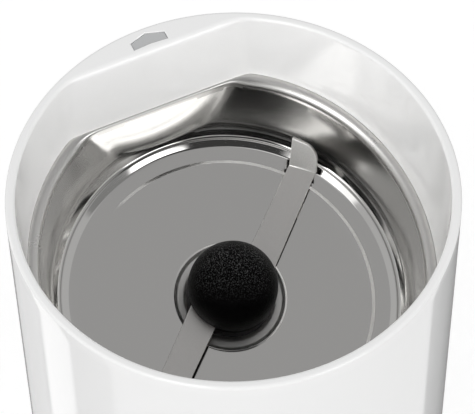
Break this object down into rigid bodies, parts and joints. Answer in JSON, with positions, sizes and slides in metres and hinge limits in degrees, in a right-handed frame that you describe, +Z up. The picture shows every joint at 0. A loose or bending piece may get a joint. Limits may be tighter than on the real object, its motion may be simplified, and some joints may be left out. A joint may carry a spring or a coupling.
{
  "type": "electric spice grinder base",
  "caption": "Cylindrical blade grinder base with a D-shaped collar, a tilted steel bowl, a two-armed blade, a lid interlock button and its motor.",
  "frame": {"origin": "middle of the footprint, on the surface that the rubber feet stand on", "axes": "+Z up, +Y towards the flat segment with the arrow button, X across the casing"},
  "size_m": [0.092, 0.092, 0.142],
  "materials": {
    "white_abs": "moulded, high gloss",
    "stainless": "polished pressing",
    "blade_steel": "ground",
    "black_plastic": "fine spark-eroded grain",
    "grey_button": "satin",
    "rubber": "moulded",
    "grey_nylon": "glass filled",
    "zinc": "zinc plated",
    "lamination": "stamped electrical steel",
    "copper": "enamelled wire and drawn copper",
    "bronze": "sintered",
    "carbon": "pressed carbon",
    "dark_plastic": "moulded",
    "spring_steel": "drawn",
    "film_yellow": "cast box",
    "red_plastic": "moulded"
  },
  "bodies": {
    "base": {"housing": "white_abs", "bowl": "stainless", "rim_gasket": "rubber", "bowl_cushion": "rubber", "shaft_seal": "rubber", "chassis": "grey_nylon", "chassis_screws": "zinc", "motor_grommets": "rubber", "shoulder_screws": "zinc", "upper_bracket": "zinc", "upper_bearing": "bronze", "stator_core": "lamination", "field_coils": "copper", "stator_bolts": "zinc", "lower_bracket": "black_plastic", "lower_bearing": "bronze", "brush_holders": "bronze", "carbon_brushes": "carbon", "brush_springs": "spring_steel", "microswitch": "dark_plastic", "switch_screws": "zinc", "plunger_spring": "spring_steel", "suppression_capacitor": "film_yellow", "base_cover": "dark_plastic", "base_screws": "zinc", "rubber_feet": "rubber", "cord_gland": "rubber"},
    "rotor": {"rotor_shaft": "spring_steel", "thrust_washers": "bronze", "armature_core": "lamination", "armature_winding": "copper", "commutator": "copper", "cooling_fan": "black_plastic", "blade_spacer": "black_plastic", "blade": "blade_steel", "hub_cap": "black_plastic"},
    "interlock": {"interlock_plunger": "grey_button"},
    "switch_lever": {"switch_lever": "spring_steel"},
    "switch_button": {"switch_button": "red_plastic"}
  },
  "joints": [
    {"name": "blade_spin", "type": "hinge", "parent": "base", "child": "rotor", "pos_m": [0, 0.003, 0.0982], "axis": [0, -0.2588, 0.9659], "continuous": true},
    {"name": "interlock_press", "type": "slide", "parent": "base", "child": "interlock", "axis": [0, 0, -1], "range_m": [0, 0.003], "stiffness_N_per_m": 300, "springref_m": -0.004, "deforming": ["plunger_spring"]},
    {"name": "lever_pivot", "type": "hinge", "parent": "base", "child": "switch_lever", "pos_m": [-0.0082, 0.03795, 0.0894], "axis": [0, 1, 0], "range_deg": [0, 10.5]},
    {"name": "button_press", "type": "slide", "parent": "base", "child": "switch_button", "axis": [0, 0, -1], "range_m": [0, 0.001]}
  ],
  "couplings": [
    {"joint": "lever_pivot", "follows": "interlock_press", "rad_per_m": 59.9},
    {"joint": "button_press", "follows": "interlock_press", "ratio": 0.3}
  ]
}
